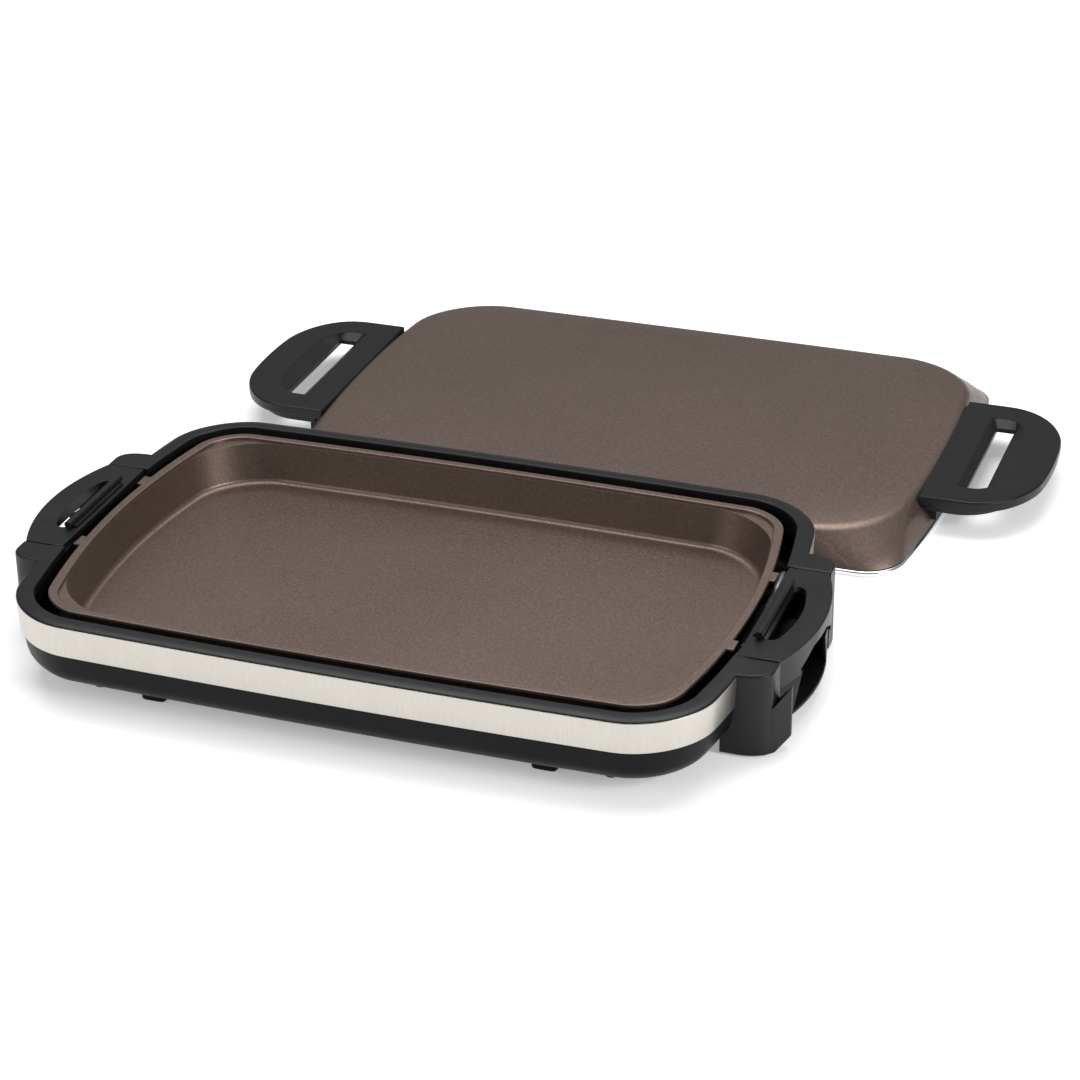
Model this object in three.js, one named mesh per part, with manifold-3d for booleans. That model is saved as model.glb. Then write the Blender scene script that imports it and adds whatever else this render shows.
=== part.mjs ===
// Electric griddle: a moulded body with a lift-out heater and cooking plate, and its lid lying behind it.
// Millimetres, +Z up. The griddle stands on the plane z = 0 and the lid rests on that plane too.
import * as THREE from 'three';
import { mergeVertices } from 'three/addons/utils/BufferGeometryUtils.js';
import Module from 'manifold-3d';

const wasm = await Module();
wasm.setup();

// ---- driving dimensions ---------------------------------------------------------------------------

const GAP = 0.3; // clearance left between pieces that touch
const PAST = 5; // how far a cutting block runs past the faces it cuts

// Plan outlines: rounded rectangles whose sides bow outwards by bowX and bowY at their middles.
const BODY = { halfX: 262, halfY: 174, corner: 47.8, bowX: 18.5, bowY: 4 };
const PLATE = { halfX: 242.1, halfY: 152.2, corner: 28, bowX: 18.5, bowY: 4 };
const SHIELD = { halfX: 229, halfY: 141, corner: 40, bowX: 18.5, bowY: 4 };
const LID = { halfX: 260, halfY: 178, corner: 26, bowX: 14, bowY: 1.5 };
const CORNER_STEPS = 6;
const LONG_STEPS = 6;
const SHORT_STEPS = 6;

const BEZEL_TOP = 62.2;
const BEZEL_WIDTH = 12;
const BEZEL_LEG = 2.4; // thickness of the wall that hangs from the inner edge of the frame
const BEZEL_BOTTOM = 46;
const TUB_BOTTOM = 10.5;
const TUB_TOP = 57.7;
const TUB_WALL = 4.4; // inset of the tub wall behind the steel band
const BAND_TOP = 60.2;
const BAND_BOTTOM = 37.5;
const BAND_LEAN = 1; // the band leans in by this much towards its lower edge
const BAND_THICK = 0.9;

const ARM = { inner: 65.8, outer: 91, root: 236, reach: 279, bottom: 0.8 };
const ARM_BLOCK = { reach: 288, front: 68.5, lowTop: 35.5, highTop: 47 }; // lower block on the front right arm only
const HANDLE = { inner: 249, corner: 278, tip: 292, halfWidth: 65, thick: 4.2, skirtBottom: 40.5 };
const SKIRT_WALL = 3;
const SKIRT_INNER = 260.5;
const WINDOW = { y: -8, bottomHalf: 36, topHalf: 14, top: 53.5 }; // hand gap in the skirt and the guard
const GUARD = { inner: 254.5, bottom: 11, shelfTop: 14, trim: 2.5 };
const SLOT = { inner: 261, outer: 269.5, bow: 5, half: 37 }; // only the right-hand slot bows outwards
const RAIL = { x: 257, half: 41, top: 67.8, head: 2.7, stem: 1.6 };
const BLOCK_FOOT = { x: 142, y: 141 };
const RUBBER_FOOT = { x: 186, y: 138 };
const BASE_SCREW = { x: 196, y: 72 };
const PORT = { half: 24, bottom: 22, top: 45, inner: 250, outer: 272, wall: 2 };

const TERMINAL = { inner: 238.6, outer: 248.4, half: 27, bottom: 20, top: 50, floor: 241.6 };
const PIN = { radius: 2.2, length: 6.4, spread: 12, z: 35 };
const ELEMENT = { radius: 3.2, z: 21.9, outerPass: 105, innerPass: 35, turnX: 160, riserX: 243.5 };
const RISER_TOP = 45.5;

const PLATE_RIM = 61.2;
const PLATE_FLOOR = 28.2;
const PLATE_THICK = 2.6;
const BOWL_CORNER = 44;
const PLATE_TAB = { y: 50.8, width: 13, tip: 244.4 };

const LID_CENTRE = { x: 50.8, y: 356.5 }; // from the griddle's centre
const LID_TOP = 30.5;
const LID_RIM_TOP = 4.2;
const LID_CREASE_CORNER = 57;
const LID_HANDLE = { inner: 244.5, tip: 331, halfWidth: 90, bottom: 21, top: 29.5 };
const LID_SCREW = { x: 248.1, y: 60, z: 14 };
const LID_SLOT = { inner: 274.5, outer: 289, half: 57, recessInner: 267.5, recessOuter: 302, floor: 24.5 };

// The origin is the middle of the box around the griddle and the lid, on the plane they stand on.
const lowX = -HANDLE.tip;
const highX = LID_CENTRE.x + LID_HANDLE.tip;
const lowY = -BODY.halfY;
const highY = LID_CENTRE.y + LID.halfY;
const ORIGIN = { x: (lowX + highX) / 2, y: (lowY + highY) / 2 };

// ---- materials ------------------------------------------------------------------------------------

const paint = (color, roughness, metalness) =>
  new THREE.MeshStandardMaterial({ color, roughness, metalness });

const blackPlastic = paint(0x232425, 0.42, 0);
const darkPlastic = paint(0x17181a, 0.5, 0);
const steel = paint(0xcfcabf, 0.3, 1);
const brownCoating = paint(0x6b5d55, 0.4, 0.5);
const brightSteel = paint(0xc9ccce, 0.22, 1);
const aluminised = paint(0xa9abad, 0.4, 1);
const sheath = paint(0x8d8f90, 0.35, 1);
const rubber = paint(0x101112, 0.8, 0);
const brass = paint(0xb58b45, 0.3, 1);

// ---- shape helpers --------------------------------------------------------------------------------

// Points of a bowed rounded rectangle, counter-clockwise from above, moved inwards by inset.
function outline(shape, inset, corner = Math.max(shape.corner - inset, 6)) {
  const halfX = shape.halfX - shape.bowX - inset;
  const halfY = shape.halfY - shape.bowY - inset;
  const flat = [];
  for (let quarter = 0; quarter < 4; quarter += 1) {
    const start = (quarter * Math.PI) / 2;
    const signX = quarter === 0 || quarter === 3 ? 1 : -1;
    const signY = quarter < 2 ? 1 : -1;
    for (let i = 0; i <= CORNER_STEPS; i += 1) {
      const angle = start + (i / CORNER_STEPS) * (Math.PI / 2);
      const x = signX * (halfX - corner) + corner * Math.cos(angle);
      const y = signY * (halfY - corner) + corner * Math.sin(angle);
      flat.push(new THREE.Vector2(x, y));
    }
    const steps = quarter % 2 === 0 ? LONG_STEPS : SHORT_STEPS;
    const last = flat[flat.length - 1];
    const run = quarter % 2 === 0 ? -signX * 2 * (halfX - corner) : -signY * 2 * (halfY - corner);
    for (let i = 1; i < steps; i += 1) {
      const part = (i / steps) * run;
      const alongX = quarter % 2 === 0 ? part : 0;
      flat.push(new THREE.Vector2(last.x + alongX, last.y + part - alongX));
    }
  }
  return flat.map(({ x, y }) => {
    const bowedX = x * (1 + (shape.bowX / halfX) * (1 - (y / halfY) ** 2));
    const bowedY = y * (1 + (shape.bowY / halfY) * (1 - (x / halfX) ** 2));
    return new THREE.Vector2(bowedX, bowedY);
  });
}

// Skin through rings of [inset, z, corner]. An open skin is capped at both ends, a closed one joins up.
function loft(shape, rows, closed = false) {
  const rings = rows.map(([inset, , corner]) => outline(shape, inset, corner));
  const count = rings[0].length;
  const positions = [];
  rings.forEach((ring, k) => ring.forEach(({ x, y }) => positions.push(x, y, rows[k][1])));
  const index = [];
  const bands = closed ? rings.length : rings.length - 1;
  for (let k = 0; k < bands; k += 1) {
    const low = k * count;
    const high = ((k + 1) % rings.length) * count;
    for (let i = 0; i < count; i += 1) {
      const j = (i + 1) % count;
      index.push(low + i, low + j, high + j, low + i, high + j, high + i);
    }
  }
  if (!closed) {
    const lastRing = (rings.length - 1) * count;
    const centres = rings.length * count;
    positions.push(0, 0, rows[0][1], 0, 0, rows[rows.length - 1][1]);
    for (let i = 0; i < count; i += 1) {
      const j = (i + 1) % count;
      index.push(centres, j, i, centres + 1, lastRing + i, lastRing + j);
    }
  }
  const geometry = new THREE.BufferGeometry();
  geometry.setAttribute('position', new THREE.Float32BufferAttribute(positions, 3));
  geometry.setIndex(index);
  return geometry;
}

// Straight-sided block over a whole outline, used to cut.
const filled = (shape, inset, low, high) => loft(shape, [[inset, low], [inset, high]]);

function block(x0, x1, y0, y1, z0, z1) {
  const geometry = new THREE.BoxGeometry(x1 - x0, y1 - y0, z1 - z0);
  return geometry.translate((x0 + x1) / 2, (y0 + y1) / 2, (z0 + z1) / 2);
}

function extrudeUp(shape, low, high, curveSegments = 10) {
  const geometry = new THREE.ExtrudeGeometry(shape, {
    depth: high - low,
    bevelEnabled: false,
    curveSegments,
  });
  return geometry.translate(0, 0, low);
}

// A section drawn in the XZ plane, swept from -half to +half along Y.
function extrudeAlongY(shape, half) {
  const geometry = new THREE.ExtrudeGeometry(shape, { depth: 2 * half, bevelEnabled: false });
  return geometry.rotateX(Math.PI / 2).translate(0, half, 0);
}

const polygon = (points) => new THREE.Shape(points.map(([x, y]) => new THREE.Vector2(x, y)));

function toSolid(geometry) {
  const bare = geometry.clone();
  bare.deleteAttribute('normal');
  bare.deleteAttribute('uv');
  const merged = mergeVertices(bare, 1e-4);
  const vertProperties = Float32Array.from(merged.attributes.position.array);
  const triVerts = Uint32Array.from(merged.index.array);
  return new wasm.Manifold(new wasm.Mesh({ numProp: 3, vertProperties, triVerts }));
}

function toGeometry(solid) {
  const { vertProperties, triVerts } = solid.getMesh();
  const geometry = new THREE.BufferGeometry();
  geometry.setAttribute('position', new THREE.BufferAttribute(vertProperties, 3));
  geometry.setIndex(new THREE.BufferAttribute(triVerts, 1));
  return geometry;
}

function join(...geometries) {
  const [first, ...rest] = geometries.map(toSolid);
  return toGeometry(rest.reduce((sum, solid) => sum.add(solid), first));
}

function cut(geometry, ...tools) {
  return toGeometry(tools.map(toSolid).reduce((sum, tool) => sum.subtract(tool), toSolid(geometry)));
}

// Mirror a geometry in X or Y and turn its faces back outwards.
function mirrored(geometry, signX, signY) {
  const bare = toGeometry(toSolid(geometry));
  bare.scale(signX, signY, 1);
  if (signX * signY < 0) {
    const order = bare.index.array;
    for (let i = 0; i < order.length; i += 3) {
      [order[i], order[i + 1]] = [order[i + 1], order[i]];
    }
  }
  return bare;
}

const SIDES = [['left', -1], ['right', 1]];
const CORNERS = [
  ['front_left', -1, -1],
  ['front_right', 1, -1],
  ['rear_left', -1, 1],
  ['rear_right', 1, 1],
];

const griddle = new THREE.Group();
griddle.position.set(-ORIGIN.x, -ORIGIN.y, 0);
const lid = new THREE.Group();
lid.position.set(LID_CENTRE.x, LID_CENTRE.y, 0);
griddle.add(lid);

function addPiece(name, geometry, material, group = griddle) {
  geometry.computeVertexNormals();
  const mesh = new THREE.Mesh(geometry, material);
  mesh.name = name;
  group.add(mesh);
  return mesh;
}

// ---- body -----------------------------------------------------------------------------------------

// Outer skin of the tub, from its flat bottom to the ledge under the band and the wall behind it.
const TUB_OUTSIDE = [
  [20, TUB_BOTTOM],
  [13.5, TUB_BOTTOM + 0.8],
  [8.5, TUB_BOTTOM + 3.5],
  [4.2, TUB_BOTTOM + 11],
  [2.2, BAND_BOTTOM - 0.4],
  [TUB_WALL, BAND_BOTTOM - 0.4],
  [TUB_WALL, TUB_TOP],
];

function makeTub() {
  const inside = [[7, TUB_TOP], [7.2, 28], [10.5, 20.5], [16, 17], [22, 16.4]];
  const shell = loft(BODY, [...TUB_OUTSIDE, ...inside]);
  const portHole = block(
    PORT.inner - 2 * PAST,
    BODY.halfX + PAST,
    -PORT.half - GAP,
    PORT.half + GAP,
    PORT.bottom - GAP,
    PORT.top + GAP,
  );
  return cut(shell, portHole);
}

// One arm beside a handle, drawn at the front right: its outer face curves round to the band.
function armOutline() {
  const { inner, outer, root, reach } = ARM;
  const shape = new THREE.Shape();
  shape.moveTo(root, -inner);
  shape.lineTo(root, -outer);
  shape.lineTo(257, -outer);
  shape.bezierCurveTo(reach - 6, -outer + 0.5, reach, -outer + 7, reach, -outer + 15);
  shape.lineTo(reach, -inner);
  return shape;
}

// Lower block that carries on the curve of the arm's face to a wider foot. Its top slopes up outwards.
function makeArmBlock() {
  const { inner, outer, reach, bottom } = ARM;
  const { reach: far, front, lowTop, highTop } = ARM_BLOCK;
  const shape = polygon([
    [reach - 8, -inner],
    [reach - 5, -outer + 4.7],
    [far - 6.5, -front - 9.7],
    [far, -front],
    [far, -inner],
  ]);
  const above = polygon([[reach - 9, lowTop], [reach, lowTop], [far + 1, highTop], [far + 1, 90], [reach - 9, 90]]);
  return cut(extrudeUp(shape, bottom, BEZEL_TOP), extrudeAlongY(above, BODY.halfY));
}

// The arm's lower outer edge is cut away by a slope.
function makeArm(hasBlock) {
  const upper = extrudeUp(armOutline(), ARM.bottom, BEZEL_TOP, 6);
  const start = ARM.reach - PAST;
  const end = ARM_BLOCK.reach + PAST;
  const slope = polygon([[start, -PAST], [end, -PAST], [end, end - start - 4.5], [start, -1.5]]);
  return cut(hasBlock ? join(upper, makeArmBlock()) : upper, extrudeAlongY(slope, BODY.halfY));
}

// The frame on top of the tub: a ring over the band and four arms reaching down beside the handles.
function makeBezelFrame() {
  const leg = BEZEL_WIDTH - BEZEL_LEG;
  const backing = BAND_THICK + 0.5;
  const ring = loft(
    BODY,
    [
      [0.3, 60.5],
      [2, 61.7],
      [4.5, BEZEL_TOP],
      [BEZEL_WIDTH - 1.2, BEZEL_TOP],
      [BEZEL_WIDTH, BEZEL_TOP - 1],
      [BEZEL_WIDTH, BEZEL_BOTTOM],
      [leg, BEZEL_BOTTOM],
      [leg, TUB_TOP + GAP],
      [backing, TUB_TOP + GAP],
      [backing, 60.5],
    ],
    true,
  );
  const handleRoom = SIDES.map(([, side]) => {
    const room = block(ARM.root - 11, HANDLE.tip + PAST, -ARM.inner, ARM.inner, TUB_TOP, BEZEL_TOP + PAST);
    return mirrored(room, side, 1);
  });
  const openRing = cut(ring, ...handleRoom);
  const tubSkin = TUB_OUTSIDE.map(([inset, z]) => [inset - GAP, z]);
  tubSkin[0][1] -= GAP;
  tubSkin[tubSkin.length - 1][1] += GAP;
  const tubRoom = loft(BODY, tubSkin);
  const well = filled(BODY, BEZEL_WIDTH, -PAST, BEZEL_TOP + PAST);
  const arms = CORNERS.map(([, side, end]) => {
    const arm = makeArm(side > 0 && end < 0);
    return cut(mirrored(arm, side, -end), tubRoom, well);
  });
  return join(openRing, ...arms);
}

// Steel strip round the front (end -1) or the rear (end 1), as far as the arms.
function makeBand(end) {
  const ring = loft(
    BODY,
    [
      [BAND_LEAN, BAND_BOTTOM],
      [0, BAND_TOP],
      [BAND_THICK, BAND_TOP],
      [BAND_LEAN + BAND_THICK, BAND_BOTTOM],
    ],
    true,
  );
  const reach = BODY.halfX + PAST;
  const otherHalf = block(-reach, reach, -reach, ARM.outer + GAP, 0, BEZEL_TOP);
  return cut(ring, mirrored(otherHalf, 1, end));
}

// D outline between two arms: straight inner edge, short square ends and an arched outer edge.
function archedOutline(inner, trim = 0) {
  const half = HANDLE.halfWidth - trim;
  const corner = HANDLE.corner - trim;
  const rise = HANDLE.tip - HANDLE.corner;
  const radius = (HANDLE.halfWidth ** 2 + rise ** 2) / (2 * rise) - trim;
  const centre = HANDLE.tip - trim - radius;
  const halfAngle = Math.acos((corner - centre) / radius);
  const shape = new THREE.Shape();
  shape.moveTo(inner, -half);
  shape.lineTo(centre + radius * Math.cos(halfAngle), -half);
  shape.absarc(centre, 0, radius, -Math.asin(half / radius), Math.asin(half / radius), false);
  shape.lineTo(inner, half);
  return shape;
}

// Finger slot: straight beside the rail, and with its outer edge bowed outwards by bow.
function slotHole(bow) {
  const { inner, outer, half } = SLOT;
  const hole = new THREE.Path();
  hole.moveTo(inner, -half);
  hole.quadraticCurveTo(inner + 4, -half - 4, outer - 1, -half + 3);
  hole.quadraticCurveTo(outer + 2 * bow, 0, outer - 1, half - 3);
  hole.quadraticCurveTo(inner + 4, half + 4, inner, half);
  return hole;
}

// Side view of the hand gap, swept outwards through the skirt or the guard.
function handGap(low, top, topHalf) {
  const { bottomHalf } = WINDOW;
  const shoulder = [bottomHalf - 3.5, 45];
  const points = [[-bottomHalf, low], [bottomHalf, low]];
  if (top > shoulder[1]) points.push(shoulder);
  points.push([topHalf, top], [-topHalf, top]);
  if (top > shoulder[1]) points.push([-shoulder[0], shoulder[1]]);
  const gap = new THREE.ExtrudeGeometry(polygon(points), { depth: 60, bevelEnabled: false });
  return gap.rotateX(Math.PI / 2).rotateZ(Math.PI / 2).translate(SKIRT_INNER - PAST, WINDOW.y, 0);
}

// Handle plate with the finger slot, and the skirt that hangs from its arched edge.
function makeHandle(bow) {
  const plateShape = archedOutline(HANDLE.inner);
  plateShape.holes.push(slotHole(bow));
  const plate = extrudeUp(plateShape, BEZEL_TOP - HANDLE.thick, BEZEL_TOP, 8);
  const outer = extrudeUp(archedOutline(SKIRT_INNER), HANDLE.skirtBottom, BEZEL_TOP - 1, 8);
  const inner = extrudeUp(archedOutline(SKIRT_INNER - PAST, SKIRT_WALL), 0, 90, 8);
  return join(plate, cut(outer, inner, handGap(20, WINDOW.top, WINDOW.topHalf)));
}

// Rail on the handle plate: a six-sided bar on a broken stem, with a low fin at its foot.
function makeRail() {
  const { x, half, top, head, stem } = RAIL;
  const foot = BEZEL_TOP + GAP;
  const section = polygon([
    [x - stem, foot],
    [x + stem, foot],
    [x + stem, top - 4.6],
    [x + head, top - 3.4],
    [x + head, top - 1.2],
    [x + stem, top],
    [x - stem, top],
    [x - head, top - 1.2],
    [x - head, top - 3.4],
    [x - stem, top - 4.6],
  ]);
  const bar = extrudeAlongY(section, half);
  const fin = block(x - 5, x - 1, -half + 4, half - 4, foot, foot + 1.4);
  const middle = block(x - 8, x + 8, -10, 10, 0, top - 4.6);
  return cut(join(bar, fin), middle);
}

// Guard below a handle: a shelf with the same arch and a low wall with a hand gap in it.
function makeGuard() {
  const { inner: edge, bottom, shelfTop, trim } = GUARD;
  const top = HANDLE.skirtBottom - GAP;
  const outer = extrudeUp(archedOutline(edge, trim), bottom, top, 8);
  const inner = extrudeUp(archedOutline(edge - PAST, trim + SKIRT_WALL), shelfTop, 90, 8);
  const besideTub = block(0, SKIRT_INNER + 4, -HANDLE.halfWidth, HANDLE.halfWidth, shelfTop, 90);
  return cut(outer, inner, besideTub, handGap(shelfTop, top + GAP, WINDOW.bottomHalf - 12));
}

function makePortSleeve() {
  const { half, bottom, top, inner, outer, wall } = PORT;
  const sleeve = block(inner, outer, -half, half, bottom, top);
  const bore = block(inner - PAST, outer + PAST, wall - half, half - wall, bottom + wall, top - wall);
  return cut(sleeve, bore);
}

function makeBlockFoot() {
  const shape = new THREE.Shape();
  shape.moveTo(-9, 7.5);
  shape.lineTo(-9, -3.5);
  shape.quadraticCurveTo(-9, -7.5, -5, -7.5);
  shape.lineTo(5, -7.5);
  shape.quadraticCurveTo(9, -7.5, 9, -3.5);
  shape.lineTo(9, 7.5);
  return extrudeUp(shape, 0.5, TUB_BOTTOM - GAP, 4);
}

function turned(points, steps = 14) {
  const profile = points.map(([radius, height]) => new THREE.Vector2(radius, height));
  return new THREE.LatheGeometry(profile, steps).rotateX(Math.PI / 2);
}

function addBody() {
  addPiece('base_tub', makeTub(), darkPlastic);
  addPiece('bezel_frame', makeBezelFrame(), blackPlastic);
  addPiece('band_front', makeBand(-1), steel);
  addPiece('band_rear', makeBand(1), steel);
  for (const [name, side] of SIDES) {
    addPiece(`handle_${name}`, mirrored(makeHandle(side > 0 ? SLOT.bow : 0), side, 1), blackPlastic);
    addPiece(`rail_${name}`, mirrored(makeRail(), side, 1), blackPlastic);
    addPiece(`guard_${name}`, mirrored(makeGuard(), side, 1), darkPlastic);
  }
  addPiece('plug_port_sleeve', makePortSleeve(), darkPlastic);
  const bump = [[0, 0], [3.6, 0], [5.6, 1.4], [6.5, 4], [6.5, TUB_BOTTOM - GAP], [0, TUB_BOTTOM - GAP]];
  const screwTop = TUB_BOTTOM - GAP;
  const screw = [[0, screwTop - 2.4], [2.6, screwTop - 2.4], [4, screwTop - 1.2], [4, screwTop], [0, screwTop]];
  for (const [name, side, end] of CORNERS) {
    const foot = addPiece(`block_foot_${name}`, mirrored(makeBlockFoot(), 1, -end), darkPlastic);
    foot.position.set(side * BLOCK_FOOT.x, end * BLOCK_FOOT.y, 0);
    const pad = addPiece(`rubber_foot_${name}`, turned(bump), rubber);
    pad.position.set(side * RUBBER_FOOT.x, end * RUBBER_FOOT.y, 0);
    const fastener = addPiece(`base_screw_${name}`, turned(screw, 10), brightSteel);
    fastener.position.set(side * BASE_SCREW.x, end * BASE_SCREW.y, 0);
  }
}

// ---- heater ---------------------------------------------------------------------------------------

// Shallow tray below the element, with its rim notched where the two ends of the tube come out.
function makeShield() {
  const tray = loft(SHIELD, [[6, 16.8], [1, 18.2], [0, 24], [0.8, 24], [1.8, 18.9], [6.5, 17.5]]);
  const notches = [-1, 1].map((end) => block(212, 240, end * 95 - 18, end * 95 + 18, 18.3, 30));
  return cut(tray, ...notches);
}

// Half of the element's centre line, from the terminal block to the start of the middle turn on the
// right. A point near each end of a straight pass keeps that pass straight.
function elementHalf() {
  const { z, outerPass, innerPass, turnX, riserX } = ELEMENT;
  const lead = 20;
  const points = [
    new THREE.Vector3(riserX, TERMINAL.half + GAP, RISER_TOP),
    new THREE.Vector3(riserX, 34, RISER_TOP),
    new THREE.Vector3(riserX, 47, RISER_TOP + 2),
    new THREE.Vector3(riserX - 0.3, 62, RISER_TOP + 3.5),
    new THREE.Vector3(riserX - 2.2, 79, RISER_TOP + 1.5),
    new THREE.Vector3(riserX - 6, 92, RISER_TOP - 8),
    new THREE.Vector3(riserX - 13, 100, z + 7),
    new THREE.Vector3(riserX - 26, 104, z),
    new THREE.Vector3(riserX - 46, outerPass, z),
    new THREE.Vector3(turnX, outerPass, z),
    new THREE.Vector3(lead - turnX, outerPass, z),
  ];
  const radius = (outerPass - innerPass) / 2;
  for (let i = 0; i <= 6; i += 1) {
    const angle = Math.PI / 2 + (i / 6) * Math.PI;
    const x = -turnX + radius * Math.cos(angle);
    points.push(new THREE.Vector3(x, outerPass - radius + radius * Math.sin(angle), z));
  }
  points.push(new THREE.Vector3(lead - turnX, innerPass, z), new THREE.Vector3(turnX - lead, innerPass, z));
  for (let i = 0; i < 3; i += 1) {
    const angle = Math.PI / 2 - (i / 6) * Math.PI;
    points.push(new THREE.Vector3(turnX + innerPass * Math.cos(angle), innerPass * Math.sin(angle), z));
  }
  return points;
}

function makeElement() {
  const half = elementHalf();
  const other = half.map(({ x, y, z }) => new THREE.Vector3(x, -y, z)).reverse();
  const middle = new THREE.Vector3(ELEMENT.turnX + ELEMENT.innerPass, 0, ELEMENT.z);
  const path = new THREE.CatmullRomCurve3([...half, middle, ...other], false, 'centripetal');
  const section = new THREE.Shape();
  section.absarc(0, 0, ELEMENT.radius, 0, 2 * Math.PI, false);
  return new THREE.ExtrudeGeometry(section, { steps: 120, curveSegments: 4, extrudePath: path });
}

// Cross strip below the element with a pair of lugs beside each pass of the tube.
function makeSupport() {
  const pieces = [block(-6, 6, -118, 118, 17.8, 18.4)];
  const passes = [ELEMENT.outerPass, ELEMENT.innerPass, -ELEMENT.innerPass, -ELEMENT.outerPass];
  const reach = ELEMENT.radius + GAP;
  for (const y of passes) {
    pieces.push(block(-4, 4, y - reach - 1.2, y - reach, 18, 23.5));
    pieces.push(block(-4, 4, y + reach, y + reach + 1.2, 18, 23.5));
  }
  return join(...pieces);
}

function makeTerminalBlock() {
  const { inner, outer, half, bottom, top, floor } = TERMINAL;
  const body = block(inner, outer, -half, half, bottom, top);
  const recess = block(floor, outer + PAST, 7 - half, half - 7, 26, 44);
  return cut(body, recess);
}

function addHeater() {
  addPiece('heat_shield', makeShield(), aluminised);
  addPiece('heating_element', makeElement(), sheath);
  for (const [name, side] of SIDES) {
    const support = addPiece(`element_support_${name}`, makeSupport(), brightSteel);
    support.position.x = side * 95;
  }
  addPiece('terminal_block', makeTerminalBlock(), darkPlastic);
  const root = TERMINAL.floor + GAP;
  const pin = [[0, 0], [PIN.radius, 0], [PIN.radius, PIN.length - 1.2], [1.2, PIN.length], [0, PIN.length]];
  for (const [name, y] of [['front', -PIN.spread], ['rear', PIN.spread]]) {
    const mesh = addPiece(`terminal_pin_${name}`, turned(pin, 10).rotateY(Math.PI / 2), brass);
    mesh.position.set(root, y, PIN.z);
  }
  const sleeve = [[0, 0], [3.4, 0], [3.4, PIN.length - 1], [2.4, PIN.length - 1], [2.4, 1], [0, 1]];
  const sensor = addPiece('sensor_sleeve', turned(sleeve, 12).rotateY(Math.PI / 2), aluminised);
  sensor.position.set(root, 0, PIN.z);
}

// ---- cooking plate --------------------------------------------------------------------------------

// Deep plate: underside, outer wall, flat rim, a step at each corner and the bowl inside.
function makePlate() {
  const rim = PLATE_RIM;
  const corner = BOWL_CORNER;
  const pan = loft(PLATE, [
    [15, PLATE_FLOOR - PLATE_THICK, corner],
    [9.4, PLATE_FLOOR - 0.6, corner],
    [4.8, rim - 3.4, corner - 4],
    [0.6, rim - 2.6],
    [0, rim - 2],
    [0, rim - 0.6],
    [0.6, rim],
    [5.4, rim],
    [6.2, rim - 0.8],
    [6.4, rim - 2.2],
    [7.2, rim - 3, corner],
    [10.8, PLATE_FLOOR + 1.8, corner],
    [12.4, PLATE_FLOOR + 0.4, corner],
    [17, PLATE_FLOOR, corner],
  ]);
  const tabs = CORNERS.map(([, side, end]) => {
    const tab = block(
      PLATE.halfX - 5,
      PLATE_TAB.tip,
      PLATE_TAB.y - PLATE_TAB.width / 2,
      PLATE_TAB.y + PLATE_TAB.width / 2,
      rim - 2.1,
      rim - 0.3,
    );
    return mirrored(tab, side, end);
  });
  return join(pan, ...tabs);
}

// ---- lid ------------------------------------------------------------------------------------------

const LID_OUTSIDE = [
  [1.4, LID_RIM_TOP + GAP],
  [7, LID_TOP - 15, 42],
  [12.8, LID_TOP - 4.5, 52],
  [15.6, LID_TOP - 1.4, LID_CREASE_CORNER],
  [24, LID_TOP, LID_CREASE_CORNER],
];

function makeLidShell() {
  const inside = [
    [27, LID_TOP - 2, 54],
    [17.4, LID_TOP - 4.2, 52],
    [9.6, LID_TOP - 15.5, 40],
    [4, LID_RIM_TOP + GAP],
  ];
  return loft(LID, [...inside, ...LID_OUTSIDE]);
}

const makeLidRim = () =>
  loft(LID, [[0.8, 0], [0, 0.9], [0, 3.4], [0.8, LID_RIM_TOP], [3.9, LID_RIM_TOP], [4.6, 3.4], [4.6, 0]], true);

function lidHandleOutline(inner, tip, half) {
  const corner = Math.min(half * 0.6, (tip - inner) * 0.7);
  const shape = new THREE.Shape();
  shape.moveTo(inner, -half);
  shape.lineTo(tip - corner, -half);
  shape.bezierCurveTo(tip - 0.4 * corner, -half, tip - 5, -half + 0.6 * corner, tip - 2, -half + corner);
  shape.quadraticCurveTo(tip + 2, 0, tip - 2, half - corner);
  shape.bezierCurveTo(tip - 5, half - 0.6 * corner, tip - 0.4 * corner, half, tip - corner, half);
  shape.lineTo(inner, half);
  return shape;
}

// D-shaped grip with a recessed through slot, and the bracket below it that lies against the flank.
function makeLidHandle() {
  const { inner, tip, halfWidth, bottom, top } = LID_HANDLE;
  const { floor, half, recessInner, recessOuter } = LID_SLOT;
  const grip = extrudeUp(lidHandleOutline(inner, tip, halfWidth), bottom, top, 8);
  const recess = extrudeUp(lidHandleOutline(recessInner, recessOuter, half + 8), floor, top + PAST, 5);
  const slot = block(LID_SLOT.inner, LID_SLOT.outer, -half, half, 0, top + PAST);
  const bracket = block(inner - 9, inner + 13, 8 - halfWidth, halfWidth - 8, 7, bottom + 1);
  const flank = LID_OUTSIDE.map(([inset, z, corner]) => [inset - GAP, z, corner]);
  flank.unshift([-GAP, 0]);
  flank[flank.length - 1][1] += GAP;
  return cut(join(cut(grip, recess, slot), bracket), loft(LID, flank));
}

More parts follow.
